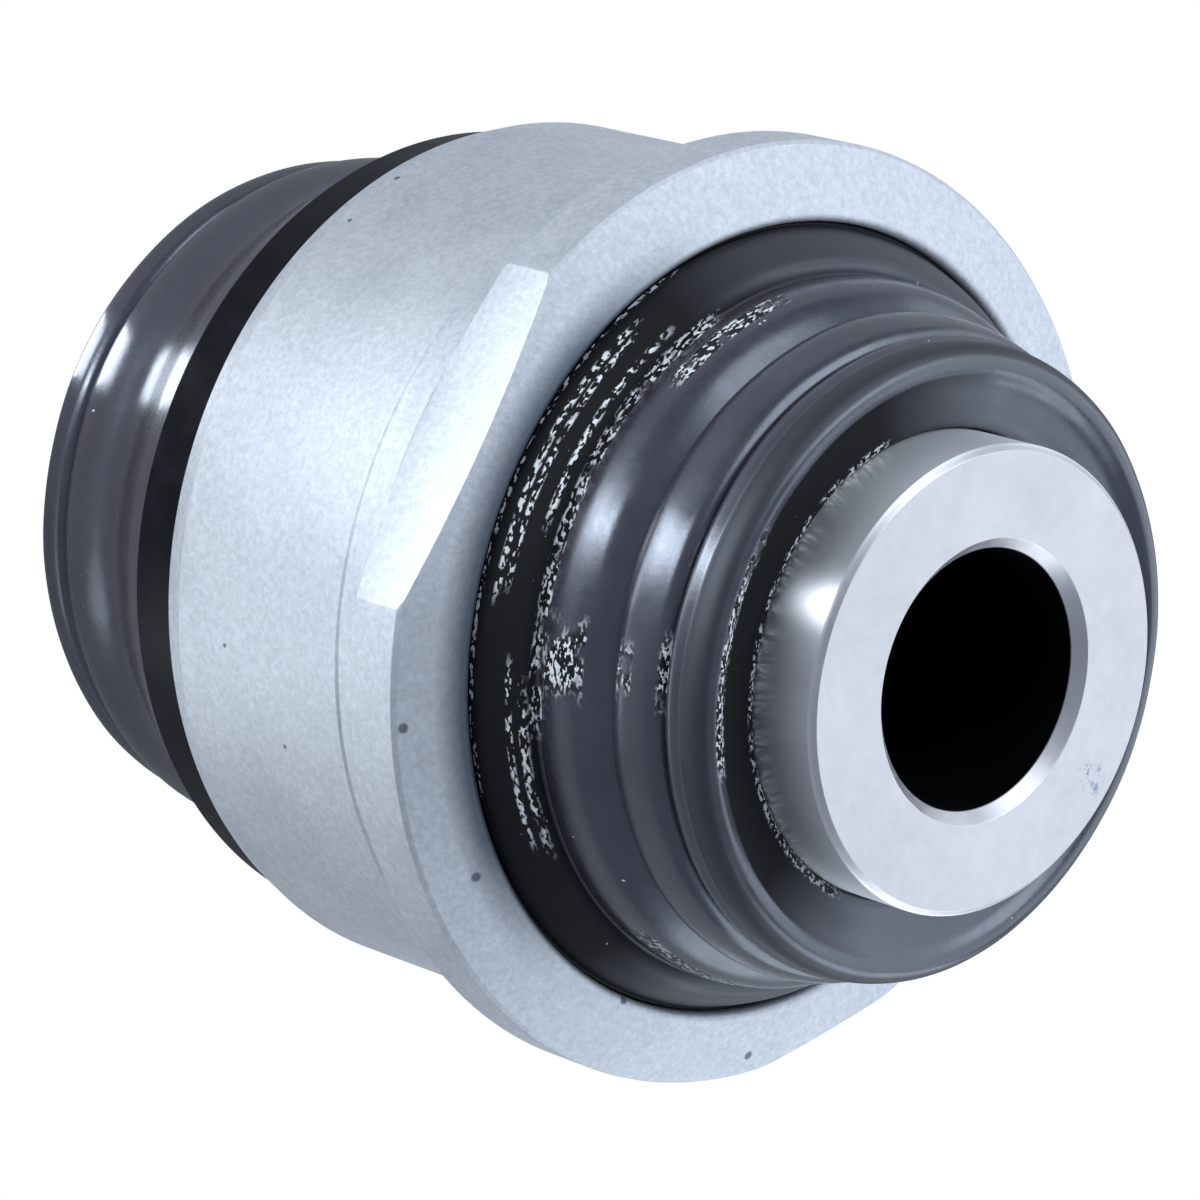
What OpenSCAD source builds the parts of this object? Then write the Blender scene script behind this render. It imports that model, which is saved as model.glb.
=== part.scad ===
// Ball-joint bush for a car's suspension arm, in millimetres.
// A ball turned on a through-bored sleeve swivels between two half shells inside a press-in body.
// A rubber bellows at each end seals the joint from the body to the sleeve.
// The origin is the ball's centre, halfway along the sleeve. +Z runs along the sleeve towards
// the flanged end, and the flange's large flat faces -Y.

/* [Sleeve and ball] */
// Length of the sleeve, end face to end face
sleeve_len = 52; // [50:0.5:58]
// Outside diameter of the sleeve, where the boots run on it
sleeve_d = 22; // [20.6:0.1:22.6]
// Diameter of the bolt bore through the sleeve
bolt_bore_d = 12.2; // [10.2:0.1:14.2]
// Chamfer at each mouth of the bolt bore
bore_chamfer = 0.6; // [0.2:0.1:1]
// Chamfer on the sleeve's outer edge at each end
sleeve_chamfer = 0.3; // [0.1:0.1:0.6]
// Diameter of the ball
ball_d = 31; // [30:0.1:31.4]

/* [Bearing shells and closing ring] */
// Radial clearance between the ball and its seat
ball_clearance = 0.05; // [0.02:0.01:0.1]
// Wall of the shells at the ball's equator
shell_wall = 2.35; // [2:0.05:2.5]
// Distance from the ball's centre to the front shell's end
front_shell_end = 7.5; // [7:0.1:8]
// Distance from the ball's centre to the rear shell's end
rear_shell_end = 7.9; // [7.6:0.1:8.2]
// Straight length of the rear shell before it tapers
rear_shell_straight = 4.5; // [4:0.1:5]
// Thickness of the closing ring
closing_ring_t = 2; // [1.6:0.1:2.4]
// Hole in the closing ring, which the tilting sleeve passes
closing_ring_hole_d = 28.6; // [28:0.1:30]
// Width of the shoulder that the closing ring rests on
closing_ring_seat = 0.7; // [0.5:0.1:0.9]

/* [Outer body] */
// Diameter of the part that is pressed into the arm
body_d = 42.08; // [41.6:0.02:43]
// Distance from the ball's centre to the body's rear face
body_rear = 7.7; // [7.4:0.1:8]
// Radial size of the lead-in chamfer at the body's rear
lead_in_r = 0.35; // [0.2:0.05:0.5]
// Length of the lead-in chamfer at the body's rear
lead_in_len = 1.25; // [0.8:0.05:1.8]
// Distance from the ball's centre to the relief behind the flange
relief_start = 5.1; // [4.5:0.1:5.5]
// Depth of the relief behind the flange
relief_depth = 0.1; // [0.05:0.05:0.2]
// Diameter of the flange
flange_d = 45.4; // [44.8:0.02:46.4]
// Distance from the ball's centre to where the flange's back starts to rise
flange_back = 7.1; // [6.8:0.05:7.6]
// Length over which the flange's back rises
flange_back_rise = 1; // [0.6:0.1:1.4]
// Width of the flange's rim, from its back to its front chamfer
flange_rim = 2.85; // [2.4:0.05:3.2]
// Chamfer between the flange's rim and its front cone
rim_chamfer = 0.2; // [0.1:0.05:0.4]
// Angle of the flange's front cone
front_cone_angle = 18; // [16:0.2:20]
// Rounding where the front cone rolls into the mouth
lip_round = 0.3; // [0.2:0.05:0.6]
// Diameter of the mouth that takes the front boot
mouth_d = 38; // [37.8:0.1:38.4]
// Distance from the axis to the flange's large flat
large_flat = 21.1; // [21.1:0.05:22]
// Distance from the axis to the flange's small flat
small_flat = 22.2; // [21.6:0.05:22.5]
// Direction of the small flat, turned from +X towards +Y
small_flat_angle = 45; // [30:1:60]

/* [Rear spigot] */
// Diameter of the spigot that takes the rear boot
spigot_d = 36.8; // [36.4:0.1:37]
// Length of the spigot behind the body's rear face
spigot_len = 3.7; // [3.5:0.1:4.2]
// Diameter of the hole in the rear of the body
rear_hole_d = 30.8; // [30.4:0.1:31.4]
// Distance from the body's rear face to the boot groove
boot_groove_start = 1; // [0.8:0.1:1.2]
// Width of the boot groove
boot_groove_w = 1.2; // [1:0.1:1.4]
// Depth of the boot groove
boot_groove_depth = 0.7; // [0.5:0.1:0.8]

/* [Clamp rings] */
// Wall of the front clamp ring
front_clamp_wall = 0.7; // [0.5:0.05:0.8]
// Distance from the top of the lip down to the front clamp ring
front_clamp_drop = 0.45; // [0.3:0.05:0.6]
// Wall of the rear clamp ring
rear_clamp_wall = 0.5; // [0.4:0.05:0.7]
// Distance from the body's rear face to the rear clamp ring
rear_clamp_start = 0.1; // [0.05:0.05:0.2]
// Width of the rear clamp ring
rear_clamp_w = 3.4; // [3:0.1:3.5]

/* [Both boots] */
// Wall of the bellows
boot_wall = 1.1; // [0.9:0.05:1.3]
// Length of sleeve that each boot leaves bare
bare_sleeve = 2.8; // [2.2:0.1:3.4]
// Clearance between a boot's lip and the sleeve
lip_clearance = 0.05; // [0.02:0.01:0.1]
// Width of the lead-in at the mouth of a boot's lip
lip_lead_in = 0.4; // [0.2:0.05:0.6]
// Rounding on the collars' outer edge
collar_round = 1.1; // [0.6:0.1:1.2]
// Depth that the collars' faces are dished to at the lip
collar_dish = 0.7; // [0.4:0.05:0.8]

/* [Front boot] */
// Thickness of the bead held in the mouth
front_bead_t = 1.7; // [1.4:0.1:2]
// Step from the mouth's wall in to the band's root
front_root_step = 0.25; // [0.1:0.05:0.4]
// Step from the mouth's wall in to the band's crest
front_band_step = 1.5; // [1.3:0.05:1.7]
// Step from the mouth's wall in to the crease inside the band
front_crease_step = 2.85; // [2.6:0.05:3]
// Step from the mouth's wall in to the crest of the first fold
front_fold_1_step = 2.25; // [2:0.05:2.4]
// Depth of the valley below the mean of the two folds
front_valley_depth = 0.95; // [0.6:0.05:1.1]
// Height of the second fold over the collar
front_fold_2_rise = 0.75; // [0.5:0.05:0.9]
// Depth of the crease behind the collar
front_neck_depth = 0.75; // [0.5:0.05:0.9]
// Rubber in the collar, from the sleeve to its outside
front_collar_t = 4; // [3.7:0.1:4.4]
// Length of the collar
front_collar_len = 2.95; // [2.8:0.05:3.2]

/* [Rear boot] */
// Thickness of the rim between the spigot and the clamp ring
rear_rim_t = 1; // [0.8:0.05:1.1]
// Height of the valley over the collar
rear_valley_rise = 0.25; // [0:0.05:0.4]
// Height of the fold over the collar
rear_fold_rise = 0.65; // [0.5:0.05:0.9]
// Depth of the crease behind the collar
rear_neck_depth = 0.5; // [0.4:0.05:0.8]
// Rubber in the collar, from the sleeve to its outside
rear_collar_t = 5.8; // [5.6:0.1:6.3]
// Length of the collar
rear_collar_len = 1.95; // [1.9:0.05:2.2]

/* [Neck rings] */
// Rubber between the sleeve and a neck ring
neck_ring_inset = 1.2; // [1:0.1:1.4]
// Thickness of the neck rings' sheet
neck_ring_t = 0.8; // [0.6:0.1:0.9]
// Length of a neck ring along the sleeve
neck_ring_len = 1.5; // [1.2:0.1:1.5]
// Rubber over a neck ring, at the collar's face and round its rim
neck_ring_cover = 1; // [0.95:0.05:1.1]

/* [Hidden] */
$fn = 96;

// Radial gap between round pieces that are assembled snugly
snug = 0.03;
// Pieces that a rounded corner is drawn with
arc_steps = 5;
// How far cutting shapes reach past what they cut
past = 1;

sleeve_r = sleeve_d / 2;
ball_r = ball_d / 2;
seat_r = ball_r + ball_clearance;
chamber_r = seat_r + shell_wall;
shell_r = chamber_r - snug;
closing_ring_r = chamber_r + closing_ring_seat;
closing_ring_end = front_shell_end + closing_ring_t;

body_r = body_d / 2;
flange_r = flange_d / 2;
mouth_r = mouth_d / 2;
rim_start = flange_back + flange_back_rise;
rim_end = rim_start + flange_rim;
cone_start = rim_end + rim_chamfer;
cone_start_r = flange_r - rim_chamfer;
cone_end = cone_start + (cone_start_r - mouth_r) * tan(front_cone_angle);
lip_top = cone_end + lip_round - lip_round / tan(45 - front_cone_angle / 2);

spigot_r = spigot_d / 2;
spigot_end = body_rear + spigot_len;
rear_hole_r = rear_hole_d / 2;
groove_r = spigot_r - boot_groove_depth;
groove_start = body_rear + boot_groove_start;
groove_end = groove_start + boot_groove_w;
spigot_chamfer = boot_groove_depth / 2;

front_clamp_end = lip_top - front_clamp_drop;
front_clamp_inner = mouth_r - front_clamp_wall;
rear_clamp_near = body_rear + rear_clamp_start;
rear_clamp_far = rear_clamp_near + rear_clamp_w;
rear_rim_r = spigot_r + rear_rim_t;

boot_face = sleeve_len / 2 - bare_sleeve;
lip_r = sleeve_r + lip_clearance;
front_collar_start = boot_face - front_collar_len;
rear_collar_start = boot_face - rear_collar_len;
front_collar_r = lip_r + front_collar_t;
rear_collar_r = lip_r + rear_collar_t;
neck_ring_r = lip_r + neck_ring_inset;
neck_ring_face = boot_face - neck_ring_cover;

function unit(v) = v / norm(v);

// Points of the corner b between a and c, rounded by radius r as far as its sides leave room
function corner(a, b, c, r) =
    let (u = unit(a - b), w = unit(c - b), half = acos(u * w) / 2)
    let (reach = min(r / tan(half), 0.49 * min(norm(a - b), norm(c - b))))
    let (centre = b + unit(u + w) * reach / cos(half), from = b + u * reach - centre)
    let (to = b + w * reach - centre, turn = atan2(cross(from, to), from * to))
    [for (i = [0:arc_steps]) let (t = turn * i / arc_steps)
        centre + [from.x * cos(t) - from.y * sin(t), from.x * sin(t) + from.y * cos(t)]];

// Closed outline through stations, each a distance from the axis, a height and a corner radius
function outline(stations) =
    let (n = len(stations), at = [for (s = stations) [s[0], s[1]]])
    [for (i = [0:n - 1], p = stations[i][2] > 0
        ? corner(at[(i + n - 1) % n], at[i], at[(i + 1) % n], stations[i][2])
        : [at[i]]) p];

module turned(stations) {
    rotate_extrude() polygon(outline(stations));
}

// Height at a share of the way from one height to another, for folds that stretch between them
function between(low, high, share) = low + (high - low) * share;

module outer_housing() {
    color([0.72, 0.76, 0.83]) difference() {
        turned([
            [rear_hole_r, -spigot_end, 0],
            [spigot_r - spigot_chamfer, -spigot_end, 0],
            [spigot_r, -spigot_end + spigot_chamfer, 0],
            [spigot_r, -groove_end, 0],
            [groove_r, -groove_end, 0],
            [groove_r, -groove_start, 0],
            [spigot_r, -groove_start, 0],
            [spigot_r, -body_rear, 0],
            [body_r - lead_in_r, -body_rear, 0],
            [body_r, lead_in_len - body_rear, 0],
            [body_r, relief_start, 0],
            [body_r - relief_depth, relief_start, 0],
            [body_r - relief_depth, flange_back, 0],
            [flange_r, rim_start, 0],
            [flange_r, rim_end, 0],
            [cone_start_r, cone_start, 0],
            [mouth_r, cone_end, lip_round],
            [mouth_r, closing_ring_end, 0],
            [closing_ring_r, closing_ring_end, 0],
            [closing_ring_r, front_shell_end, 0],
            [chamber_r, front_shell_end, 0],
            [chamber_r, -rear_shell_straight, 0],
            [rear_hole_r, -rear_shell_end, 0]
        ]);
        flange_flat(large_flat, -90);
        flange_flat(small_flat, small_flat_angle);
    }
}

// Cutter for a flat across the flange, at a distance from the axis and facing a direction
module flange_flat(distance, direction) {
    rotate([0, 0, direction])
        translate([distance, -flange_r, flange_back - relief_depth])
            cube([flange_r, flange_d, cone_end - flange_back + past]);
}

module ball_sleeve() {
    half = sleeve_len / 2;
    bore_r = bolt_bore_d / 2;
    color([0.82, 0.83, 0.88]) difference() {
        union() {
            turned([
                [0, -half, 0],
                [sleeve_r - sleeve_chamfer, -half, 0],
                [sleeve_r, sleeve_chamfer - half, 0],
                [sleeve_r, half - sleeve_chamfer, 0],
                [sleeve_r - sleeve_chamfer, half, 0],
                [0, half, 0]
            ]);
            sphere(r = ball_r);
        }
        cylinder(r = bore_r, h = sleeve_len + 2 * past, center = true);
        for (side = [0, 1]) mirror([0, 0, side]) turned([
            [0, half - bore_chamfer, 0],
            [bore_r, half - bore_chamfer, 0],
            [bore_r + bore_chamfer, half, 0],
            [bore_r + bore_chamfer, half + past, 0],
            [0, half + past, 0]
        ]);
    }
}

module front_bearing_shell() {
    color([0.9, 0.88, 0.8]) difference() {
        cylinder(r = shell_r, h = front_shell_end);
        sphere(r = seat_r);
    }
}

module rear_bearing_shell() {
    color([0.9, 0.88, 0.8]) difference() {
        turned([
            [0, 0, 0],
            [shell_r, 0, 0],
            [shell_r, -rear_shell_straight, 0],
            [rear_hole_r - snug, -rear_shell_end, 0],
            [0, -rear_shell_end, 0]
        ]);
        sphere(r = seat_r);
    }
}

module front_closing_ring() {
    edge = closing_ring_t / 4;
    hole_r = closing_ring_hole_d / 2;
    color([0.6, 0.6, 0.62]) turned([
        [hole_r, front_shell_end, 0],
        [closing_ring_r - snug, front_shell_end, 0],
        [closing_ring_r - snug, closing_ring_end, 0],
        [hole_r + edge, closing_ring_end, 0],
        [hole_r, closing_ring_end - edge, 0]
    ]);
}

module front_clamp_ring() {
    color([0.1, 0.1, 0.11]) turned([
        [front_clamp_inner, closing_ring_end, 0],
        [mouth_r - snug, closing_ring_end, 0],
        [mouth_r - snug, front_clamp_end, 0],
        [front_clamp_inner, front_clamp_end, 0]
    ]);
}

module rear_clamp_ring() {
    inner = rear_rim_r + snug;
    outer = inner + rear_clamp_wall;
    edge = rear_clamp_wall / 3;
    color([0.08, 0.08, 0.09]) turned([
        [inner, -rear_clamp_near, 0],
        [outer, -rear_clamp_near, edge],
        [outer, -rear_clamp_far, edge],
        [inner, -rear_clamp_far, 0]
    ]);
}

// Steel ring moulded into a boot's collar: a tube on the sleeve's side with a flat flange at
// its face end. play widens it to the pocket that the rubber leaves for it.
module neck_ring(collar_r, play) {
    outer = collar_r - neck_ring_cover + play;
    inner = neck_ring_r - play;
    face = neck_ring_face + play;
    turned([
        [inner, face, 0],
        [outer, face, 0],
        [outer, face - neck_ring_t - 2 * play, 0],
        [inner + neck_ring_t + 2 * play, face - neck_ring_t - 2 * play, 0],
        [inner + neck_ring_t + 2 * play, face - neck_ring_len - 2 * play, 0],
        [inner, face - neck_ring_len - 2 * play, 0]
    ]);
}

// Collar of a boot, from the crease behind it to the lip that runs on the sleeve
function collar(collar_r, neck_depth, start) = [
    [collar_r - neck_depth, start, 0.1],
    [collar_r, start + neck_depth, 0.4],
    [collar_r, boot_face, collar_round],
    [lip_r + lip_lead_in, boot_face - collar_dish, 0],
    [lip_r, boot_face - collar_dish - lip_lead_in / 2, 0],
    [lip_r, start + lip_lead_in, 0],
    [lip_r + lip_lead_in, start - lip_lead_in, 0]
];

module front_boot() {
    bead_out = front_clamp_inner - snug;
    bead_in = bead_out - front_bead_t;
    root_r = mouth_r - front_root_step;
    band_r = mouth_r - front_band_step;
    crease_r = mouth_r - front_crease_step;
    fold_1_r = mouth_r - front_fold_1_step;
    fold_2_r = front_collar_r + front_fold_2_rise;
    valley_r = (fold_1_r + fold_2_r) / 2 - front_valley_depth;
    low = front_clamp_end;
    high = front_collar_start;
    color([0.2, 0.2, 0.23]) difference() {
        turned(concat([
            [bead_in, closing_ring_end, 0],
            [bead_out, closing_ring_end, 0],
            [bead_out, low, 0],
            [root_r, low, 0],
            [root_r, between(low, high, 0.03), 0.1],
            [band_r, between(low, high, 0.35), 0.5],
            [crease_r, between(low, high, 0.33), 0.2],
            [fold_1_r, between(low, high, 0.51), 1.2],
            [between(fold_1_r, valley_r, 0.2), between(low, high, 0.6), 0.8],
            [valley_r, between(low, high, 0.705), 0.8],
            [fold_2_r, between(low, high, 0.835), 0.6],
            [fold_2_r, between(low, high, 0.935), 0.5]
        ], collar(front_collar_r, front_neck_depth, high), [
            [fold_2_r - boot_wall, between(low, high, 0.87), 0.4],
            [valley_r - boot_wall, between(low, high, 0.685), 0.6],
            [fold_1_r - boot_wall, between(low, high, 0.54), 0.6],
            [crease_r - boot_wall, between(low, high, 0.31), 0.6],
            [bead_in, between(low, high, -0.05), 0.4]
        ]));
        neck_ring(front_collar_r, lip_clearance);
    }
}

module rear_boot() {
    seat = spigot_r + snug;
    valley_r = rear_collar_r + rear_valley_rise;
    fold_r = rear_collar_r + rear_fold_rise;
    low = rear_clamp_far;
    high = rear_collar_start;
    color([0.2, 0.2, 0.23]) mirror([0, 0, 1]) difference() {
        turned(concat([
            [seat, body_rear, 0],
            [rear_rim_r, body_rear, 0],
            [rear_rim_r, low, 0.2],
            [between(rear_rim_r, valley_r, 0.45), between(low, high, 0.3), 1.5],
            [valley_r, between(low, high, 0.52), 1.5],
            [fold_r, between(low, high, 0.7), 1.2],
            [fold_r - rear_fold_rise, between(low, high, 0.9), 1]
        ], collar(rear_collar_r, rear_neck_depth, high), [
            [fold_r - boot_wall, between(low, high, 0.84), 1],
            [fold_r - boot_wall, between(low, high, 0.7), 1],
            [valley_r - boot_wall, between(low, high, 0.5), 1],
            [between(seat, valley_r - boot_wall, 0.45), between(low, high, 0.26), 1],
            [seat, spigot_end, 0],
            [seat, groove_end - snug, 0],
            [groove_r + snug, groove_end - snug, 0],
            [groove_r + snug, groove_start + snug, 0],
            [seat, groove_start + snug, 0]
        ]));
        neck_ring(rear_collar_r, lip_clearance);
    }
}

module front_neck_ring() {
    color([0.55, 0.55, 0.57]) neck_ring(front_collar_r, 0);
}

module rear_neck_ring() {
    color([0.55, 0.55, 0.57]) mirror([0, 0, 1]) neck_ring(rear_collar_r, 0);
}

outer_housing();
ball_sleeve();
front_bearing_shell();
rear_bearing_shell();
front_closing_ring();
front_clamp_ring();
rear_clamp_ring();
front_boot();
rear_boot();
front_neck_ring();
rear_neck_ring();
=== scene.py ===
# %% [markdown]
# # A ball-joint bush for a suspension arm
# The object is a steel press-in body with a flange, a ball turned on a bored sleeve inside it, and a rubber
# bellows at each end. Nearly everything on it was made on a lathe or in a round mould, so nearly every piece
# here is an outline swept round one axis, Z. Lengths are written in millimetres, as a drawing would have
# them, and become metres when a mesh is made.

import math

import bmesh
import bpy
import numpy as np
from mathutils import Matrix, Vector


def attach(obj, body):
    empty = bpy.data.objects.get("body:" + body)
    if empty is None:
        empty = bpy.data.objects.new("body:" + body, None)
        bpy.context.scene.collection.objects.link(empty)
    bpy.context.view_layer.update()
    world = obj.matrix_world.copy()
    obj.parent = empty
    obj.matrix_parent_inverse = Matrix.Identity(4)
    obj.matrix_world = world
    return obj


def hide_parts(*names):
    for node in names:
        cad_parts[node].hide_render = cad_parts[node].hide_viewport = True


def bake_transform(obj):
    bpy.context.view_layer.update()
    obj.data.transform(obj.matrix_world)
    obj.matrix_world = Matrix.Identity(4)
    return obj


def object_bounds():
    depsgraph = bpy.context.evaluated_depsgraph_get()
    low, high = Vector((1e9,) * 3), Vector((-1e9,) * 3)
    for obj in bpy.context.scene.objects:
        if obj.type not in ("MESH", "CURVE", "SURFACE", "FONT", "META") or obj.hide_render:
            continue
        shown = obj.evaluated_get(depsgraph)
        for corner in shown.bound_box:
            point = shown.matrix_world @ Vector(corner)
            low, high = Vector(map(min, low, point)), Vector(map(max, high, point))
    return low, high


MM = 0.001
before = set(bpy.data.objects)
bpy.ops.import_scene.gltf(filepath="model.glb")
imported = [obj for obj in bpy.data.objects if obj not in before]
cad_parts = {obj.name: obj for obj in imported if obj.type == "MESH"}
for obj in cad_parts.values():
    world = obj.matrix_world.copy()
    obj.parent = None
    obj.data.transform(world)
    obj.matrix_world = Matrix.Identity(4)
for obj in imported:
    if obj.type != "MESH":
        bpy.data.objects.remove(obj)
cad_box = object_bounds()
print("nodes:", sorted(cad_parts))
print("box of the solids, mm:", [[round(v / MM, 2) for v in corner] for corner in cad_box])

# %% [markdown]
# ## The camera
# The photograph was taken with a long lens from above the flanged end, and the bush lies turned in the
# frame. A camera can be turned by three angles, but they are hard to read off a picture. So it is placed by
# its position, the way it looks and the way its top points, because those three come straight from the
# ellipses that the round edges make in the picture.

# %% Place the camera
CAMERA_AT = Vector((38.654, -199.248, 208.785)) * MM
LOOK = Vector((-0.12825, 0.68578, -0.71642)).normalized()
TOP = Vector((-0.90578, -0.37518, -0.19699))
TOP = (TOP - TOP.dot(LOOK) * LOOK).normalized()
RIGHT = LOOK.cross(TOP)
SENSOR_MM, LENS_MM = 36, 180
NEAREST_M, FARTHEST_M = 0.01, 10


def add_object(name, data):
    """An object of this name and data, put in the scene."""
    made = bpy.data.objects.new(name, data)
    bpy.context.scene.collection.objects.link(made)
    return made


camera_data = bpy.data.cameras.new("camera")
camera_data.sensor_width = SENSOR_MM
camera_data.lens = LENS_MM
camera_data.clip_start, camera_data.clip_end = NEAREST_M, FARTHEST_M
camera = add_object("camera", camera_data)
facing = Matrix((RIGHT, TOP, -LOOK)).transposed().to_4x4()
camera.matrix_world = Matrix.Translation(CAMERA_AT) @ facing
bpy.context.scene.camera = camera
print("camera looks along", [round(v, 3) for v in LOOK])

# %% [markdown]
# ## The floor
# The object stands on the rear end of its sleeve, and the photograph shows it on plain white with no shadow.
# More light would whiten a grey floor, but it would burn out the object too. So the floor glows by itself
# for the camera alone, and a little for glossy rays, and reflects light as mid-grey for all else.

# %% Build the floor
FLOOR_Z = cad_box[0].z
FLOOR_HALF_M = 3.0
FLOOR_IN_GLOSS = 0.09


def new_material(name):
    """A material with an empty tree but for its shader and output."""
    made = bpy.data.materials.new(name)
    made.use_nodes = True
    tree = made.node_tree
    tree.nodes.clear()
    out = tree.nodes.new("ShaderNodeOutputMaterial")
    shader = tree.nodes.new("ShaderNodeBsdfPrincipled")
    tree.links.new(shader.outputs[0], out.inputs[0])
    return made, tree, shader, out


def arithmetic(tree, kind, first, second=0.0):
    """A Math node. Each input is a socket or a constant."""
    node = tree.nodes.new("ShaderNodeMath")
    node.operation = kind
    for socket, value in ((node.inputs[0], first), (node.inputs[1], second)):
        if isinstance(value, bpy.types.NodeSocket):
            tree.links.new(value, socket)
        else:
            socket.default_value = value
    return node.outputs[0]


def mix_shaders(tree, share, first, second):
    """The first shader where share is 0, the second where it is 1."""
    node = tree.nodes.new("ShaderNodeMixShader")
    for value, socket in zip((share, first, second), node.inputs):
        tree.links.new(value, socket)
    return node.outputs[0]


floor_finish, tree, shader, out = new_material("pale studio floor")
shader.inputs["Base Color"].default_value = (0.5, 0.5, 0.5, 1)
shader.inputs["Roughness"].default_value = 0.9
glow = tree.nodes.new("ShaderNodeEmission")
glow.inputs["Color"].default_value = (1, 1, 1, 1)
path = tree.nodes.new("ShaderNodeLightPath")
in_gloss = arithmetic(tree, "MULTIPLY", path.outputs["Is Glossy Ray"], FLOOR_IN_GLOSS)
glowing = arithmetic(tree, "ADD", path.outputs["Is Camera Ray"], in_gloss)
tree.links.new(mix_shaders(tree, glowing, shader.outputs[0], glow.outputs[0]), out.inputs[0])

floor_mesh = bpy.data.meshes.new("floor")
corners = [(x * FLOOR_HALF_M, y * FLOOR_HALF_M, FLOOR_Z) for x, y in ((-1, -1), (1, -1), (1, 1), (-1, 1))]
floor_mesh.from_pydata(corners, [], [(0, 1, 2, 3)])
floor = add_object("floor", floor_mesh)
floor.data.materials.append(floor_finish)
print(f"floor at z {FLOOR_Z / MM:.1f} mm")

# %% [markdown]
# ## The light
# In the photograph the light comes from low down on the left, which is the -Y side. The streaks on the folds
# are mirrors of it, so here strips lie on the floor there, and a tall softbox stands beyond them. The near
# strips are lamps of their own, because they light the flange's flat, which burns out easily. Two dim panels
# lift the lower edge. Three large softboxes, to the right of the object in the picture, over its top and
# beyond it, light the faces evenly. One even sky would be simpler, but black rubber shows its form only by
# the shapes that it mirrors.

# %% Light the room
ROOM_COLOUR, ROOM_STRENGTH = (0.62, 0.72, 0.9), 0.34
WHITE = (1.0, 1.0, 1.0)


def background(tree, colour, strength):
    node = tree.nodes.new("ShaderNodeBackground")
    node.inputs["Color"].default_value = (*colour, 1)
    node.inputs["Strength"].default_value = strength
    return node.outputs[0]


world = bpy.data.worlds.new("studio")
bpy.context.scene.world = world
world.use_nodes = True
tree = world.node_tree
tree.nodes.clear()
out = tree.nodes.new("ShaderNodeOutputWorld")
path = tree.nodes.new("ShaderNodeLightPath")
room = background(tree, ROOM_COLOUR, ROOM_STRENGTH)
seen = background(tree, WHITE, 1.0)
tree.links.new(mix_shaders(tree, path.outputs["Is Camera Ray"], room, seen), out.inputs[0])
bpy.context.scene.view_settings.view_transform = "Standard"
print("room light:", ROOM_COLOUR, "at", ROOM_STRENGTH)

# %% Set up the lamps
LAMP_COLOUR, LAMP_FACTOR = (0.84, 0.91, 1), 4
# a lamp on the floor lies half a millimetre above it, turned half round
ON_FLOOR, FACING_UP = -25.5, (0, 1, 0, 0)


def softbox(name, place, size, brightness):
    """An area lamp of this brightness at a place in millimetres, aimed at the middle of the object.

    Its brightness is its power over LAMP_FACTOR times its area.
    """
    data = bpy.data.lights.new(name, "AREA")
    data.shape = "RECTANGLE"
    data.size, data.size_y = size[0] * MM, size[1] * MM
    data.energy = brightness * LAMP_FACTOR * data.size * data.size_y
    data.color = LAMP_COLOUR
    lamp = add_object(name, data)
    lamp.location = Vector(place) * MM
    lamp.rotation_mode = "QUATERNION"
    lamp.rotation_quaternion = lamp.location.to_track_quat("Z", "Y")
    lamp.visible_camera = False
    return lamp


floor_lamps = [
    softbox("strip by the rear boot", (-1.0, -20, ON_FLOOR), (4, 7), 5.5),
    softbox("strip by the body", (4, -59, ON_FLOOR), (28, 16), 2.7),
    softbox("middle strip", (-3, -84, ON_FLOOR), (20, 34), 5.0),
    softbox("long strip", (-3, -150, ON_FLOOR), (24, 98), 9.0),
    softbox("dim panel by the body", (36, -38, ON_FLOOR), (28, 40), 0.95),
    softbox("dim panel by the rim", (38, 42, ON_FLOOR), (30, 30), 0.45),
]
for lamp in floor_lamps:
    lamp.rotation_quaternion = FACING_UP
softbox("tall softbox", (-3, -202, 20), (28, 92), 9.5)
softbox("right softbox", (-225, 325, 225), (600, 600), 0.76)
softbox("top softbox", (-340, -75, 370), (380, 380), 1.8)
softbox("far softbox", (275, 400, 150), (400, 480), 1.4)

# %% [markdown]
# ## Finishes
# Each finish is a small tree of noise patterns on Object coordinates, which are the part's own metres, so a
# pattern of cells 0.2 mm wide has a scale of 5000. Painted images could do the same, but a pattern of nodes
# needs no unwrapping and stays sharp when seen close. The helpers below add one kind of node each.

# %% Helpers for patterns and colours
def coordinates(tree):
    """The part's own coordinates, in metres."""
    return tree.nodes.new("ShaderNodeTexCoord").outputs["Object"]


def noise(tree, where, cell_mm, detail=3, roughness=0.5, seed=0.0):
    """Cloudy noise whose cells are cell_mm wide. A seed moves it to another part of the pattern."""
    node = tree.nodes.new("ShaderNodeTexNoise")
    node.noise_dimensions = "4D"
    node.inputs["W"].default_value = seed
    node.inputs["Scale"].default_value = 1000 / cell_mm
    node.inputs["Detail"].default_value = detail
    node.inputs["Roughness"].default_value = roughness
    tree.links.new(where, node.inputs["Vector"])
    return node.outputs["Fac"]


def ramp(tree, value, stops):
    """A colour ramp through two or more stops, each a position and a grey or a colour."""
    node = tree.nodes.new("ShaderNodeValToRGB")
    points = node.color_ramp.elements
    while len(points) < len(stops):
        points.new(0.5)
    for point, (position, colour) in zip(points, stops):
        point.position = position
        point.color = (*colour, 1) if isinstance(colour, tuple) else (colour, colour, colour, 1)
    tree.links.new(value, node.inputs[0])
    return node.outputs[0]


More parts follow.
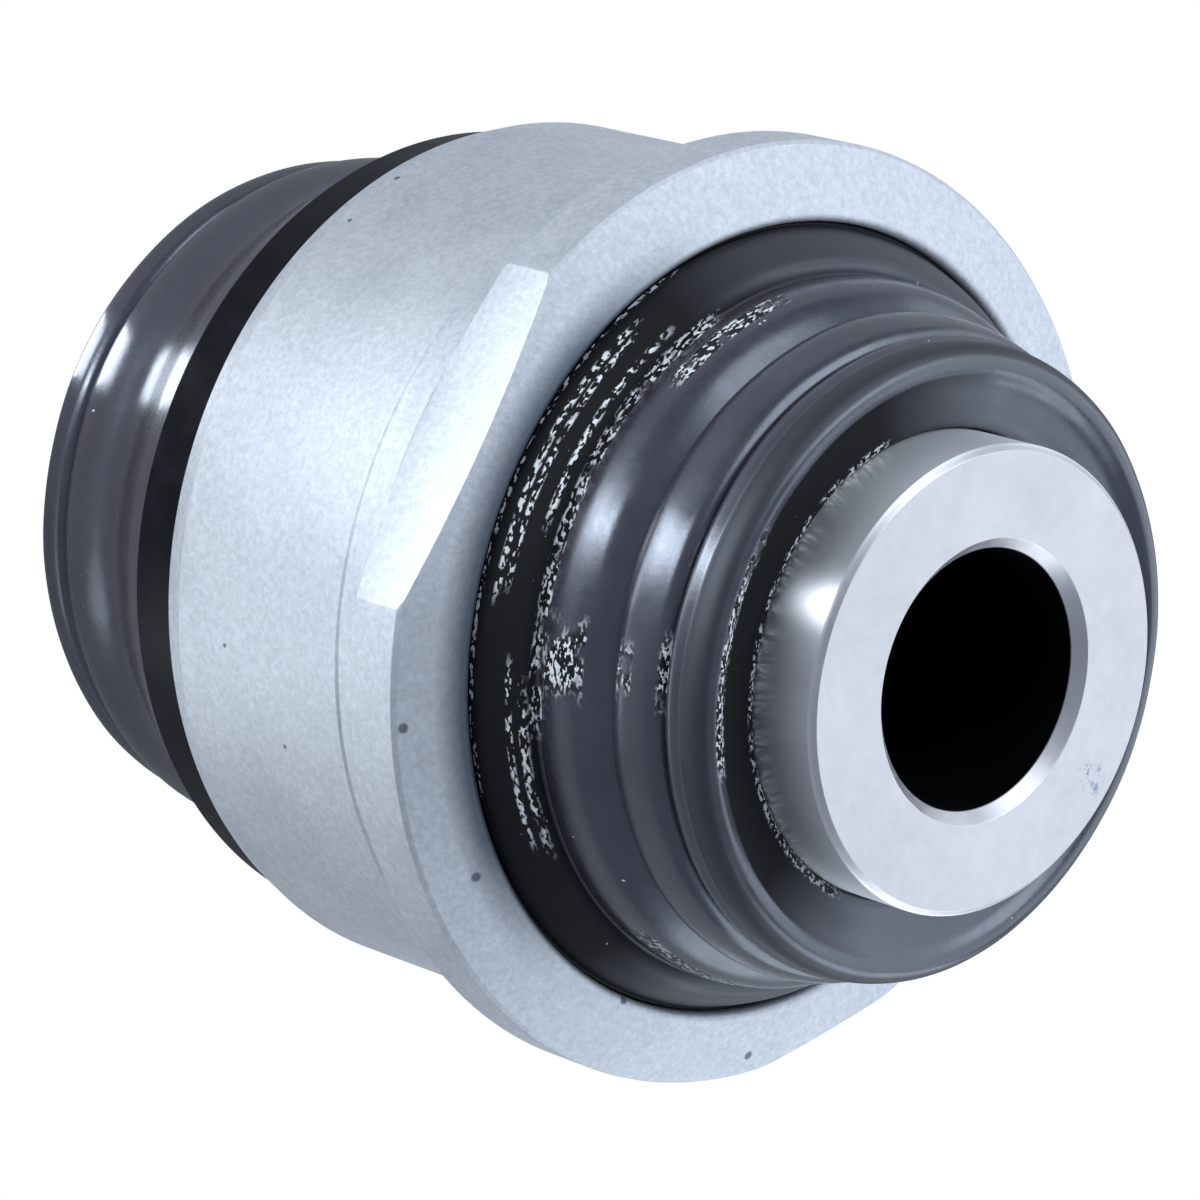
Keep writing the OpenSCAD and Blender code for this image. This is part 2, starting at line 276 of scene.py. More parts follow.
def mix(tree, share, first, second, kind="MIX"):
    """Mixes two colours. Each input is a socket or a constant."""
    node = tree.nodes.new("ShaderNodeMix")
    node.data_type = "RGBA"
    node.blend_type = kind
    for socket, value in ((node.inputs[0], share), (node.inputs[6], first), (node.inputs[7], second)):
        if isinstance(value, bpy.types.NodeSocket):
            tree.links.new(value, socket)
        elif isinstance(value, tuple):
            socket.default_value = (*value, 1)
        else:
            socket.default_value = value
    return node.outputs[2]


def times(tree, first, second):
    return arithmetic(tree, "MULTIPLY", first, second)


def bumps(tree, shader, height, depth_mm, strength):
    """Bump on the shader: depth_mm is how far the surface moves where height goes from 0 to 1."""
    node = tree.nodes.new("ShaderNodeBump")
    node.inputs["Distance"].default_value = depth_mm * MM
    node.inputs["Strength"].default_value = strength
    tree.links.new(height, node.inputs["Height"])
    tree.links.new(node.outputs[0], shader.inputs["Normal"])


# %% [markdown]
# A mark on a round part has a place of its own: a spot, or a stretch of a ring. The next helpers give such a
# place as a share from 0 to 1. They measure it in the part's own round coordinates, so that a mark stays
# where it is when the part is seen from elsewhere.

# %% Helpers for the places of marks
DEGREE_MM = 0.15


def round_coordinates(tree, where):
    """Distance from the axis and height in millimetres, and the direction round the axis in degrees."""
    split = tree.nodes.new("ShaderNodeSeparateXYZ")
    tree.links.new(where, split.inputs[0])
    x, y, z = split.outputs
    square = arithmetic(tree, "ADD", times(tree, x, x), times(tree, y, y))
    distance = arithmetic(tree, "DIVIDE", arithmetic(tree, "SQRT", square), MM)
    direction = times(tree, arithmetic(tree, "ARCTAN2", y, x), 180 / math.pi)
    return distance, arithmetic(tree, "DIVIDE", z, MM), direction


def drawn_round(tree, distance, height, direction):
    """Coordinates in metres in which a degree counts for DEGREE_MM.

    On the boots a degree is about 0.3 mm long, so a pattern is drawn out round the axis.
    """
    join = tree.nodes.new("ShaderNodeCombineXYZ")
    tree.links.new(times(tree, direction, DEGREE_MM * MM), join.inputs[0])
    tree.links.new(times(tree, distance, MM), join.inputs[1])
    tree.links.new(times(tree, height, MM), join.inputs[2])
    return join.outputs[0]


def window(tree, value, low, high, soft):
    """1 where value lies between low and high, falling to 0 over the width soft outside them."""
    shares = []
    for start, end in ((low - soft, low), (high + soft, high)):
        node = tree.nodes.new("ShaderNodeMapRange")
        node.inputs["From Min"].default_value, node.inputs["From Max"].default_value = start, end
        tree.links.new(value, node.inputs["Value"])
        shares.append(node.outputs[0])
    return times(tree, *shares)


def ring_part(tree, where_round, heights, distances, directions, soft):
    """1 on a stretch of a ring, 0 away from it.

    soft holds the widths of its edges in height, in distance from the axis and in direction.
    """
    distance, height, direction = where_round
    at_height = window(tree, height, *heights, soft[0])
    in_section = times(tree, at_height, window(tree, distance, *distances, soft[1]))
    return times(tree, in_section, window(tree, direction, *directions, soft[2]))


def spot(tree, where, centre_mm, radius_mm):
    """1 near a point of the surface and 0 away from it."""
    node = tree.nodes.new("ShaderNodeVectorMath")
    node.operation = "DISTANCE"
    node.inputs[1].default_value = Vector(centre_mm) * MM
    tree.links.new(where, node.inputs[0])
    scaled = arithmetic(tree, "DIVIDE", node.outputs["Value"], radius_mm * MM)
    return ramp(tree, scaled, [(0.0, 1.0), (0.6, 1.0), (1.0, 0.0)])


# %% [markdown]
# ### Zinc coat
# The body is zinc plated: pale blue-grey, satin, finely grained and a little cloudy. It has a few dark specks
# and small nicks where it was handled, and painted shade on the flange's face beside the lip, on the -Y side.
# It could be a plain metal colour with one roughness, but the grain is what tells plating from bare steel, so
# it gets fine bump, and the clouds go into colour and roughness alike.

# %% Make the zinc coat
ZINC_SHADED, ZINC_PALE = (0.76, 0.79, 0.83), (0.86, 0.88, 0.91)
SPECK, PAINTED_LIP_SHADE = (0.06, 0.09, 0.14), (0.05, 0.08, 0.13)
NICKS = [
    # place and radius
    ((-12.22, -17.13, -6.04), 0.2),
    ((-9.19, -18.93, -5.78), 0.16),
    ((15.0, -14.75, 0.73), 0.14),
    ((12.93, -18.07, 11.24), 0.3),
    ((17.33, -10.74, 11.83), 0.3),
    ((19.14, 0.93, 12.2), 0.28),
    ((18.64, 11.0, 11.43), 0.28),
]
# painted shade beside the lip: heights, distances from the axis and directions where the face is darkened
PAINTED_SHADE_BY_LIP = ((11.4, 12.4), (18.9, 19.5), (-108, -36))
PAINTED_SHADE_BY_LIP_SOFT = (0.1, 1.3, 26)

zinc, tree, shader, out = new_material("zinc coat")
where = coordinates(tree)
clouds = noise(tree, where, 5.0, detail=5, roughness=0.6)
grain = noise(tree, where, 0.3, detail=3, roughness=0.65, seed=1.0)
specks = noise(tree, where, 0.9, detail=2, seed=2.0)
tint = ramp(tree, clouds, [(0.3, ZINC_SHADED), (0.7, ZINC_PALE)])
tint = mix(tree, 1.0, tint, ramp(tree, grain, [(0.35, 0.84), (0.65, 1.0)]), "MULTIPLY")
dark = ramp(tree, specks, [(0.2, 1.0), (0.235, 0.0)])
for centre, radius in NICKS:
    dark = arithmetic(tree, "MAXIMUM", dark, spot(tree, where, centre, radius))
tint = mix(tree, times(tree, dark, 0.75), tint, SPECK)
# painted shade: the face beside the lip is darkened in colour on the -Y side
painted_shade_by_lip = ring_part(tree, round_coordinates(tree, where), *PAINTED_SHADE_BY_LIP, PAINTED_SHADE_BY_LIP_SOFT)
tint = mix(tree, times(tree, painted_shade_by_lip, 0.8), tint, PAINTED_LIP_SHADE)
tree.links.new(tint, shader.inputs["Base Color"])
shader.inputs["Metallic"].default_value = 0.85
tree.links.new(ramp(tree, clouds, [(0.3, 0.56), (0.7, 0.66)]), shader.inputs["Roughness"])
bumps(tree, shader, grain, depth_mm=0.03, strength=0.8)
print(f"{zinc.name}: {len(tree.nodes)} nodes, {len(NICKS)} nicks")

# %% [markdown]
# ### Turned steel
# The sleeve's ends are faced on a lathe, with a blue stain on the front one, and its outside is polished
# where the boots run on it. Fine marks of turning draw a highlight out along the axis. Thousands of grooves
# would do that too, but the shader's anisotropy does it without any, with its tangent along the axis. The
# bore's colour is painted nearly black as painted shade, because almost no light finds its way in and out.

# %% Make the turned steel
BORE_R, SLEEVE_R, BALL_R = 6.1, 11.0, 15.5
STAIN_AT, STAIN_R, STAIN = (1.3, 9.2, 26.0), 1.1, (0.16, 0.24, 0.42)


def axis_direction(tree):
    """The direction of the part's axis."""
    turned = tree.nodes.new("ShaderNodeVectorTransform")
    turned.vector_type = "VECTOR"
    turned.convert_from, turned.convert_to = "OBJECT", "WORLD"
    turned.inputs[0].default_value = (0, 0, 1)
    return turned.outputs[0]


turned_steel, tree, shader, out = new_material("turned steel")
where = coordinates(tree)
distance = round_coordinates(tree, where)[0]
haze = noise(tree, where, 3.0, detail=4, roughness=0.6)
scuffs = noise(tree, where, 0.35, detail=4, roughness=0.7, seed=3.0)
bore_painted_dark = window(tree, distance, 0.0, BORE_R + 0.03, soft=0.05)
polished = window(tree, distance, SLEEVE_R - 0.05, BALL_R + 1, soft=0.1)

tint = ramp(tree, haze, [(0.3, (0.70, 0.68, 0.69)), (0.7, (0.78, 0.76, 0.77))])
broken = ramp(tree, scuffs, [(0.5, 0.0), (0.6, 0.7)])
tint = mix(tree, times(tree, spot(tree, where, STAIN_AT, STAIN_R), broken), tint, STAIN)
# painted shade: the bore's colour is nearly black
tint = mix(tree, bore_painted_dark, tint, (0.006, 0.006, 0.007))
tint = mix(tree, polished, tint, (0.88, 0.88, 0.9))
tree.links.new(tint, shader.inputs["Base Color"])
shader.inputs["Metallic"].default_value = 0.9

rough = mix(tree, polished, ramp(tree, scuffs, [(0.35, 0.32), (0.7, 0.44)]), (0.38, 0.38, 0.38))
rough = mix(tree, bore_painted_dark, rough, (0.7, 0.7, 0.7))
tree.links.new(rough, shader.inputs["Roughness"])
tree.links.new(times(tree, polished, 0.9), shader.inputs["Anisotropic"])
tree.links.new(axis_direction(tree), shader.inputs["Tangent"])
bumps(tree, shader, scuffs, depth_mm=0.003, strength=0.5)
print(f"{turned_steel.name}: {len(tree.nodes)} nodes")

# %% [markdown]
# ### Black steel, plain steel and plastic
# The clamp rings are blackened, the stamped rings inside are plain, and the shells round the ball are pale
# plastic. Flat colours would do for what hardly shows, but a slow haze in colour and roughness costs one
# noise each, and keeps them from looking like paint.

# %% Make the other hard finishes
black_steel, tree, shader, out = new_material("blackened steel")
wear = noise(tree, coordinates(tree), 1.2, detail=4, roughness=0.65, seed=5.0)
tint = ramp(tree, wear, [(0.4, (0.003, 0.003, 0.005)), (0.8, (0.012, 0.012, 0.02))])
tree.links.new(tint, shader.inputs["Base Color"])
tree.links.new(ramp(tree, wear, [(0.3, 0.3), (0.7, 0.45)]), shader.inputs["Roughness"])
shader.inputs["Specular IOR Level"].default_value = 0.15
bumps(tree, shader, wear, depth_mm=0.01, strength=0.4)

plain_steel, tree, shader, out = new_material("plain stamped steel")
haze = noise(tree, coordinates(tree), 2.0, detail=4, roughness=0.6, seed=7.0)
tint = ramp(tree, haze, [(0.3, (0.36, 0.36, 0.38)), (0.7, (0.5, 0.5, 0.52))])
tree.links.new(tint, shader.inputs["Base Color"])
tree.links.new(ramp(tree, haze, [(0.3, 0.35), (0.7, 0.5)]), shader.inputs["Roughness"])
shader.inputs["Metallic"].default_value = 0.9

shell_plastic, tree, shader, out = new_material("bearing plastic")
haze = noise(tree, coordinates(tree), 2.0, seed=9.0)
tint = ramp(tree, haze, [(0.3, (0.72, 0.69, 0.58)), (0.7, (0.78, 0.75, 0.66))])
tree.links.new(tint, shader.inputs["Base Color"])
tree.links.new(ramp(tree, haze, [(0.3, 0.4), (0.7, 0.5)]), shader.inputs["Roughness"])
print("hard finishes:", [finish.name for finish in (black_steel, plain_steel, shell_plastic)])

# %% [markdown]
# ### Boot rubber
# The boots are charcoal rubber with a slow cloudy bloom, glossy on the folds, and dull on the band, in the
# hollow by the lip and partly over the collar. Where it is dull, and in the rows of dust between the crumbs,
# its colour is also darker, and that darkening is painted shade. White crumbs of dust gather in thin rows
# along the creases, and a few lie scattered. One noise over the whole boot would scatter them all, so a table
# gives each row its place, a larger noise breaks the rows up, and a fine noise that is drawn out round the
# axis makes the crumbs inside them.

# %% Say where the rubber is dusty, dull and painted with shade
DUST = [
    # heights, distances from the axis, directions in degrees, share of the place that the dust covers
    ((11.8, 11.95), (18.5, 18.8), (-125, -45), 1.0),
    ((12.55, 12.75), (18.2, 18.6), (-114, -74), 1.0),
    ((13.0, 13.15), (18.1, 18.4), (-112, -76), 1.0),
    ((13.85, 14.0), (17.4, 17.9), (-116, -86), 1.0),
    ((14.15, 14.5), (16.75, 17.2), (-124, -54), 1.0),
    ((15.3, 16.1), (16.6, 17.0), (-134, -114), 0.9),
    ((14.5, 16.8), (16.3, 17.0), (-68, -61), 1.0),
    ((18.4, 19.2), (15.6, 15.95), (-66, -63), 0.9),
    ((20.2, 20.9), (14.5, 15.2), (-69, -61), 1.0),
    ((13.5, 13.65), (17.7, 18.2), (-60, -36), 0.9),
    ((14.0, 14.15), (17.3, 17.8), (-57, -34), 0.9),
    ((15.3, 16.3), (16.4, 17.0), (-10, 12), 0.6),
    ((22.9, 23.2), (13.4, 14.1), (-92, -50), 1.0),
    ((22.2, 22.45), (11.0, 11.45), (-130, 0), 0.8),
    ((-11.6, -11.5), (19.25, 19.45), (-170, -60), 0.8),
]
DUST_SOFT = (0.08, 0.15, 4)
DULL_AND_PAINTED_SHADE = [
    # heights, distances and directions of the places that have lost their gloss and get painted shade, and
    # how much of it
    ((11.7, 14.3), (17.0, 18.8), (-122, -10), 1.0),
    ((22.2, 22.95), (11.2, 13.7), (-130, -20), 1.0),
    ((21.75, 23.0), (14.3, 15.3), (-180, 180), 0.55),
    ((12.3, 14.2), (17.0, 18.8), (-180, 180), 0.5),
]
DULL_AND_PAINTED_SHADE_SOFT = (0.1, 0.2, 34)


def gather(tree, where_round, places, soft, start=None):
    """The highest share of all the places in a table, and of start where there is one."""
    gathered = start
    for heights, distances, directions, share in places:
        place = times(tree, ring_part(tree, where_round, heights, distances, directions, soft), share)
        gathered = place if gathered is None else arithmetic(tree, "MAXIMUM", gathered, place)
    return gathered


print(len(DUST), "rows of dust and", len(DULL_AND_PAINTED_SHADE), "dull places")

# %% Make the boot rubber
rubber, tree, shader, out = new_material("boot rubber")
where = coordinates(tree)
where_round = round_coordinates(tree, where)
bloom = noise(tree, where, 5.0, detail=4, roughness=0.6, seed=11.0)
fine = noise(tree, where, 0.3, detail=3, roughness=0.6, seed=12.0)
crumbs = noise(tree, drawn_round(tree, *where_round), 0.15, detail=1, seed=13.0)
patches = noise(tree, where, 1.4, detail=2, seed=14.0)
scattered = noise(tree, where, 0.36, detail=1, seed=15.0)
smears = noise(tree, where, 1.6, detail=3, roughness=0.65, seed=16.0)

dusty = gather(tree, where_round, DUST, DUST_SOFT)
dusty = times(tree, dusty, ramp(tree, patches, [(0.36, 0.0), (0.46, 1.0)]))
in_rows = times(tree, dusty, ramp(tree, crumbs, [(0.52, 0.0), (0.56, 1.0)]))
dust = arithmetic(tree, "MAXIMUM", in_rows, ramp(tree, scattered, [(0.79, 0.0), (0.81, 0.9)]))
dull_and_painted_shade = gather(tree, where_round, DULL_AND_PAINTED_SHADE, DULL_AND_PAINTED_SHADE_SOFT, start=dusty)

tint = ramp(tree, bloom, [(0.3, (0.028, 0.023, 0.032)), (0.7, (0.054, 0.046, 0.062))])
# painted shade: the dull places and the rows of dust get a darker colour
tint = mix(tree, dull_and_painted_shade, tint, (0.012, 0.011, 0.0105))
tree.links.new(mix(tree, dust, tint, WHITE), shader.inputs["Base Color"])
rough = mix(tree, dull_and_painted_shade, ramp(tree, smears, [(0.3, 0.2), (0.7, 0.33)]), (0.75, 0.75, 0.75))
tree.links.new(mix(tree, dust, rough, (0.9, 0.9, 0.9)), shader.inputs["Roughness"])
shine = arithmetic(tree, "SUBTRACT", 1.0, times(tree, dull_and_painted_shade, 0.85))
tree.links.new(shine, shader.inputs["Specular IOR Level"])
shader.inputs["IOR"].default_value = 1.72
shader.inputs["Specular Tint"].default_value = (0.84, 0.9, 1.0, 1)
bumps(tree, shader, mix(tree, dust, fine, (3.0, 3.0, 3.0)), depth_mm=0.01, strength=0.5)
print(f"{rubber.name}: {len(tree.nodes)} nodes")

# %% [markdown]
# ## The lathe
# A turned or moulded round piece is its outline swept round the axis. Spin in mesh code would do it, but a
# Geometry Nodes tree says it better: a circle is the path, the outline is the section, Curve to Mesh joins
# them. The outline reaches the tree as an object, and the number of steps and the finish are inputs too. So
# is a slow waviness of the surface, because moulded rubber is never quite round.

# %% Build the lathe tree
# radius of the circle that is the path, and length of the waves on moulded rubber
GUIDE_R, WAVE_MM = 14.0, 6.25


def add_waviness(tree, piece, waviness):
    """Moves the surface along its normal by a slow noise, up to half the waviness either way."""
    add, link = tree.nodes.new, tree.links.new
    cloud = add("ShaderNodeTexNoise")
    cloud.inputs["Scale"].default_value = 1000 / WAVE_MM
    cloud.inputs["Detail"].default_value = 1
    centred = arithmetic(tree, "SUBTRACT", cloud.outputs["Fac"], 0.5)
    along = add("ShaderNodeVectorMath")
    along.operation = "SCALE"
    link(add("GeometryNodeInputNormal").outputs[0], along.inputs[0])
    link(times(tree, centred, waviness), along.inputs["Scale"])
    moved = add("GeometryNodeSetPosition")
    link(piece, moved.inputs["Geometry"])
    link(along.outputs[0], moved.inputs["Offset"])
    return moved.outputs[0]


def build_lathe():
    """The tree that sweeps an outline round the Z axis."""
    tree = bpy.data.node_groups.new("lathe", "GeometryNodeTree")
    add, link = tree.nodes.new, tree.links.new
    kinds = {"Outline": "Object", "Steps": "Int", "Waviness": "Float", "Finish": "Material"}
    for name, kind in kinds.items():
        tree.interface.new_socket(name, in_out="INPUT", socket_type="NodeSocket" + kind)
    tree.interface.new_socket("Piece", in_out="OUTPUT", socket_type="NodeSocketGeometry")
    inputs, outputs = add("NodeGroupInput"), add("NodeGroupOutput")

    fetch = add("GeometryNodeObjectInfo")
    section = add("GeometryNodeMeshToCurve")
    circle = add("GeometryNodeCurvePrimitiveCircle")
    circle.inputs["Radius"].default_value = GUIDE_R * MM
    upright = add("GeometryNodeSetCurveNormal")
    upright.mode = "Z_UP"
    sweep = add("GeometryNodeCurveToMesh")
    link(inputs.outputs["Outline"], fetch.inputs["Object"])
    link(fetch.outputs["Geometry"], section.inputs["Mesh"])
    link(inputs.outputs["Steps"], circle.inputs["Resolution"])
    link(circle.outputs["Curve"], upright.inputs["Curve"])
    link(upright.outputs["Curve"], sweep.inputs["Curve"])
    link(section.outputs["Curve"], sweep.inputs["Profile Curve"])

    real = add("GeometryNodeRealizeInstances")
    finish = add("GeometryNodeSetMaterial")
    link(add_waviness(tree, sweep.outputs[0], inputs.outputs["Waviness"]), real.inputs[0])
    link(real.outputs[0], finish.inputs["Geometry"])
    link(inputs.outputs["Finish"], finish.inputs["Material"])
    link(finish.outputs[0], outputs.inputs["Piece"])
    return tree


LATHE = build_lathe()
SOCKETS = {s.name: s.identifier for s in LATHE.interface.items_tree if s.in_out == "INPUT"}
print("lathe inputs:", SOCKETS)

# %% [markdown]
# An outline is a closed row of stations: distance from the axis, height, and corner radius. A sharp corner
# on a real part still catches light on a tiny edge, so hard pieces give every corner that shows a small
# radius. A point is held a hair beyond each end of a rounding, so that smooth shading doesn't leak into the
# faces. A Bevel modifier could round the edges of the finished piece, but it gives them all one width.

# %% Round the corners of an outline
# steps in a rounding, and the distance beyond it of the point that is held
CORNER_STEPS, HOLD = 6, 0.04
# share of a side that a rounding may take, and half the angle from which a corner counts as straight
SIDE_SHARE, STRAIGHT = 0.48, math.radians(89.5)


def outline(stations, steps=CORNER_STEPS):
    """Points of a closed outline, each corner rounded by its radius as far as its sides leave room."""
    at = [np.array(s[:2], float) for s in stations]
    points = []
    for i, station in enumerate(stations):
        here, radius = at[i], station[2]
        to_last, to_next = at[i - 1] - here, at[(i + 1) % len(at)] - here
        room = min(np.linalg.norm(to_last), np.linalg.norm(to_next)) * SIDE_SHARE
        to_last, to_next = to_last / np.linalg.norm(to_last), to_next / np.linalg.norm(to_next)
        half = math.acos(max(-1, min(1, to_last @ to_next))) / 2
        if radius <= 0 or half > STRAIGHT:
            points.append(here)
            continue
        reach = min(radius / math.tan(half), room)
        radius = reach * math.tan(half)
        bisector = (to_last + to_next) / np.linalg.norm(to_last + to_next)
        centre = here + bisector * radius / math.sin(half)
        start, end = here + to_last * reach - centre, here + to_next * reach - centre
        sweep = math.atan2(start[0] * end[1] - start[1] * end[0], start @ end)
        if reach + HOLD < room:
            points.append(here + to_last * (reach + HOLD))
        for k in range(steps + 1):
            a = sweep * k / steps
            spin = np.array([[math.cos(a), -math.sin(a)], [math.sin(a), math.cos(a)]])
            points.append(centre + spin @ start)
        if reach + HOLD < room:
            points.append(here + to_next * (reach + HOLD))
    return points


# %% [markdown]
# Rubber has no straight sides and few corners, so a boot's outside is a smooth curve through a few points of
# the drawing. Straight stretches inside it are cut up, because a mesh can only bend where it has points.

# %% Draw smooth and finely cut outlines
CURVE_STEP = 0.22


def fill_in(points, longest):
    """Adds points so that no side of a closed outline is longer than this, where a mesh has to bend."""
    made = []
    for i, here in enumerate(points):
        ahead = points[(i + 1) % len(points)]
        count = max(1, math.ceil(np.linalg.norm(ahead - here) / longest))
        made += [here + (ahead - here) * k / count for k in range(count)]
    return made


def flowing(points):
    """A smooth curve through points of the outline: a natural cubic spline over its chord lengths."""
    at = np.array(points, float)
    gaps = np.hypot(*np.diff(at, axis=0).T)
    along = np.concatenate([[0], np.cumsum(gaps)])
    rows, right = np.eye(len(at)), np.zeros((len(at), 2))
    for i in range(1, len(at) - 1):
        rows[i, i - 1:i + 2] = gaps[i - 1], 2 * (gaps[i - 1] + gaps[i]), gaps[i]
        right[i] = 6 * ((at[i + 1] - at[i]) / gaps[i] - (at[i] - at[i - 1]) / gaps[i - 1])
    bend = np.linalg.solve(rows, right)
    made = []
    for s in np.linspace(0, along[-1], max(2, math.ceil(along[-1] / CURVE_STEP))):
        i = min(int(np.searchsorted(along, s, side="right")) - 1, len(gaps) - 1)
        a, b = (along[i + 1] - s) / gaps[i], (s - along[i]) / gaps[i]
        curl = ((a**3 - a) * bend[i] + (b**3 - b) * bend[i + 1]) * gaps[i] ** 2 / 6
        made.append(a * at[i] + b * at[i + 1] + curl)
    return made


# %% [markdown]
# A swept outline may come out with its faces pointing inwards, or with points that fall together. A piece is
# a closed solid only when its doubles are merged and its volume is positive. Looking at each one would find
# that too, but here it is done and measured as the piece is turned.

# %% Turn a piece on the lathe
# points nearer than this fall together
DOUBLES_M = 1e-7


def turn(name, points, finish, steps=256, waviness=0.0, sharp=40):
    """Sweeps an outline round the axis with the lathe tree and returns a plain mesh object.

    An edge is sharp where its faces meet at more than this many degrees.
    """
    section = bpy.data.meshes.new(name + " outline")
    rim = [((p[0] - GUIDE_R) * MM, -p[1] * MM, 0) for p in points]
    section.from_pydata(rim, [(i, (i + 1) % len(rim)) for i in range(len(rim))], [])
    holder = add_object(name + " outline", section)
    blank = add_object(name + " blank", bpy.data.meshes.new(name + " blank"))
    lathe = blank.modifiers.new("lathe", "NODES")
    lathe.node_group = LATHE
    lathe[SOCKETS["Outline"]] = holder
    lathe[SOCKETS["Steps"]] = steps
    lathe[SOCKETS["Waviness"]] = waviness * MM
    lathe[SOCKETS["Finish"]] = finish
    evaluated = blank.evaluated_get(bpy.context.evaluated_depsgraph_get())
    mesh = bpy.data.meshes.new_from_object(evaluated)
    mesh.name = name
    for used in (blank, holder):
        bpy.data.objects.remove(used)

    shape = bmesh.new()
    shape.from_mesh(mesh)
    bmesh.ops.remove_doubles(shape, verts=shape.verts, dist=DOUBLES_M)
    bmesh.ops.recalc_face_normals(shape, faces=shape.faces)
    if shape.calc_volume(signed=True) < 0:
        bmesh.ops.reverse_faces(shape, faces=shape.faces)
    volume = shape.calc_volume(signed=True) / MM**3
    shape.to_mesh(mesh)
    shape.free()
    mesh.shade_smooth()
    mesh.set_sharp_from_angle(angle=math.radians(sharp))
    piece = add_object(name, mesh)
    low, high = (np.array(c) / MM for c in (piece.bound_box[0], piece.bound_box[6]))
    reach = f"z {low[2]:.2f} to {high[2]:.2f}, r {high[0]:.2f}"
    print(f"{name}: {len(mesh.polygons)} faces, {volume:.0f} mm3, {reach}")
    return piece


# %% [markdown]
# ## The outer body
# One turned piece. From the rear: the spigot with its groove for the boot, the rear face and lead-in
# chamfer, the plain barrel that is pressed into the arm, a shallow relief, the flange with its cone-shaped
# front, and the lip round the mouth. Two flats were milled across the flange afterwards, so here too they
# are cut after the turning, with a Boolean, and the new edges get a small bevel. An outline alone can't hold
# a flat, because it sweeps every line round the axis.

# %% Turn the outer body
BODY_R, FLANGE_R, MOUTH_R, CHAMBER_R = 21.04, 22.7, 19.0, 17.9
SPIGOT_R, GROOVE_R, SPIGOT_BORE_R = 18.4, 17.7, 15.4
RELIEF_R, RING_SEAT_R = 20.94, 18.6
EDGE = 0.08
TURNED_EDGE = 0.1
body_stations = [
    (SPIGOT_BORE_R, -11.4, EDGE),
    (18.05, -11.4, EDGE),
    (SPIGOT_R, -11.05, EDGE),
    (SPIGOT_R, -9.9, EDGE),
    (GROOVE_R, -9.9, EDGE),
    (GROOVE_R, -8.7, EDGE),
    (SPIGOT_R, -8.7, EDGE),
    (SPIGOT_R, -7.7, EDGE),
    (20.69, -7.7, TURNED_EDGE),
    (BODY_R, -6.45, TURNED_EDGE),
    (BODY_R, 5.05, TURNED_EDGE),
    (RELIEF_R, 5.2, TURNED_EDGE),
    (RELIEF_R, 7.1, 0.5),
    (FLANGE_R, 8.1, 0.25),
    (FLANGE_R, 10.95, TURNED_EDGE),
    (22.5, 11.15, TURNED_EDGE),
    (MOUTH_R, 12.287, 0.3),
    (MOUTH_R, 9.5, 0.0),
    (RING_SEAT_R, 9.5, 0.0),
    (RING_SEAT_R, 7.5, 0.0),
    (CHAMBER_R, 7.5, 0.0),
    (CHAMBER_R, -4.5, 0.0),
    (SPIGOT_BORE_R, -7.9, 0.0),
]
body_blank = turn("outer body blank", outline(body_stations), zinc)

# %% Mill the two flats
# distance from the axis, and the direction that the flat faces
LARGE_FLAT, SMALL_FLAT = (21.1, -90), (22.2, 45)
# half sizes and middle height of the block that cuts a flat
BLOCK_HALF, BLOCK_Z = (5, 30, 4), 11.0


def cutter(distance, degrees):
    """A block whose near face lies on a flat, at a distance from the axis and facing a direction."""
    shape = bmesh.new()
    bmesh.ops.create_cube(shape, size=2)
    placed = Matrix.Translation((distance + BLOCK_HALF[0], 0, BLOCK_Z)) @ Matrix.Diagonal((*BLOCK_HALF, 1))
    for change in (placed, Matrix.Rotation(math.radians(degrees), 4, "Z"), Matrix.Scale(MM, 4)):
        bmesh.ops.transform(shape, matrix=change, verts=shape.verts)
    mesh = bpy.data.meshes.new("cutter")
    shape.to_mesh(mesh)
    shape.free()
    return add_object("cutter", mesh)


def mill(blank, name, flats):
    """Cuts the flats off a blank and returns the milled piece as a plain mesh."""
    blocks = [cutter(*flat) for flat in flats]
    for block in blocks:
        cut = blank.modifiers.new("cut", "BOOLEAN")
        cut.operation = "DIFFERENCE"
        cut.solver = "EXACT"
        cut.object = block
    soft = blank.modifiers.new("soft edges", "BEVEL")
    soft.width = EDGE * MM
    soft.segments = 2
    soft.limit_method = "ANGLE"
    soft.angle_limit = math.radians(20)
    mesh = bpy.data.meshes.new_from_object(blank.evaluated_get(bpy.context.evaluated_depsgraph_get()))
    mesh.name = name
    for used in blocks + [blank]:
        bpy.data.objects.remove(used)
    mesh.shade_smooth()
    mesh.set_sharp_from_angle(angle=math.radians(30))
    print(f"{name}: {len(mesh.polygons)} faces after milling")
    return add_object(name, mesh)


body = mill(body_blank, "outer_body", [LARGE_FLAT, SMALL_FLAT])
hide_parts("outer_housing")
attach(body, "housing")

# %% [markdown]
# ## The ball and sleeve
# One piece of steel. Only the two ends show, the rest is inside, but the whole form is turned: bore, end
# faces with their chamfers, the polished necks, and the ball in the middle. A sphere joined to a tube would
# look the same from outside and leave faces inside, so the ball is an arc in the sleeve's own outline.

